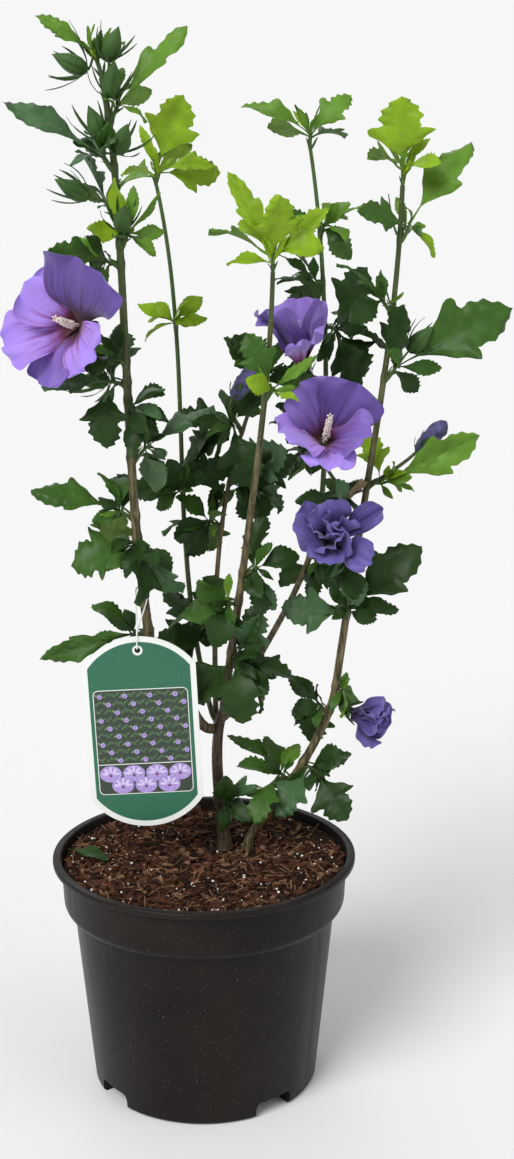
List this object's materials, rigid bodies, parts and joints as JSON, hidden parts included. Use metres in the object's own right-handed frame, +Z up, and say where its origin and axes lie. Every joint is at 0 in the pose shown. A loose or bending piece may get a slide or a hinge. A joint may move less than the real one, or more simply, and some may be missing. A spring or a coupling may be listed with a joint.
{
  "type": "potted rose of sharon",
  "caption": "Young flowering shrub with upright stems, lobed leaves, buds and violet funnel-shaped blooms, standing in a round nursery pot with a plant label looped on a stem.",
  "frame": {"origin": "middle of the pot's flat underside, on the ground it stands on", "axes": "+Z up; the viewer of the picture stands at -Y, and +X is to that viewer's right"},
  "size_m": [0.3507, 0.2415, 0.7826],
  "materials": {
    "pot": "satin",
    "soil": "rough",
    "bark": "rough",
    "green_stem": "satin",
    "label": "semi-gloss",
    "loop": "satin",
    "leaf_lime": "satin",
    "leaf_fresh": "satin",
    "leaf_mid": "satin",
    "leaf_deep": "satin",
    "leaf_grey": "matte",
    "petal": "matte"
  },
  "bodies": {
    "root": {"pot": "pot", "soil": "soil", "label": "label", "label_loop": "loop", "trunk": "bark", "centre_stem": "bark", "left_stem_low": "bark", "left_stem_high": "bark", "thin_stem": "green_stem", "inner_stem": "bark", "back_stem_low": "bark", "back_stem_high": "green_stem", "right_stem_low": "bark", "right_stem_high": "bark", "left_leaves_1": "leaf_mid", "left_leaves_2": "leaf_deep", "left_leaves_3": "leaf_mid", "left_leaves_4": "leaf_grey", "left_leaves_5": "leaf_deep", "left_leaves_6": "leaf_grey", "left_bloom": "petal", "left_leaves_7": "leaf_mid", "left_leaves_8": "leaf_fresh", "left_leaves_9": "leaf_grey", "left_leaves_10": "leaf_grey", "left_leaves_11": "leaf_fresh", "left_top": "leaf_fresh", "thin_leaves_1": "leaf_deep", "thin_leaves_2": "leaf_lime", "thin_top": "leaf_lime", "trunk_leaves": "leaf_deep", "centre_leaves_1": "leaf_deep", "centre_leaves_2": "leaf_mid", "centre_leaves_3": "leaf_deep", "centre_leaves_4": "leaf_fresh", "centre_top": "leaf_lime", "inner_leaves_1": "leaf_deep", "inner_leaves_2": "leaf_mid", "inner_leaves_3": "leaf_deep", "inner_leaves_4": "leaf_deep", "inner_top": "leaf_mid", "back_leaves_1": "leaf_deep", "back_leaves_2": "leaf_deep", "back_bloom": "petal", "back_leaves_3": "leaf_deep", "back_leaves_4": "leaf_deep", "back_leaves_5": "leaf_fresh", "back_top": "leaf_fresh", "right_leaves_1": "leaf_mid", "right_leaves_2": "leaf_deep", "right_leaves_3": "leaf_deep", "right_bloom_low": "petal", "right_leaves_4": "leaf_deep", "right_bloom_middle": "petal", "right_bloom_high": "petal", "right_leaves_5": "leaf_fresh", "right_leaves_6": "leaf_mid", "right_leaves_7": "leaf_mid", "right_leaves_8": "leaf_fresh", "right_top": "leaf_lime"}
  },
  "joints": []
}
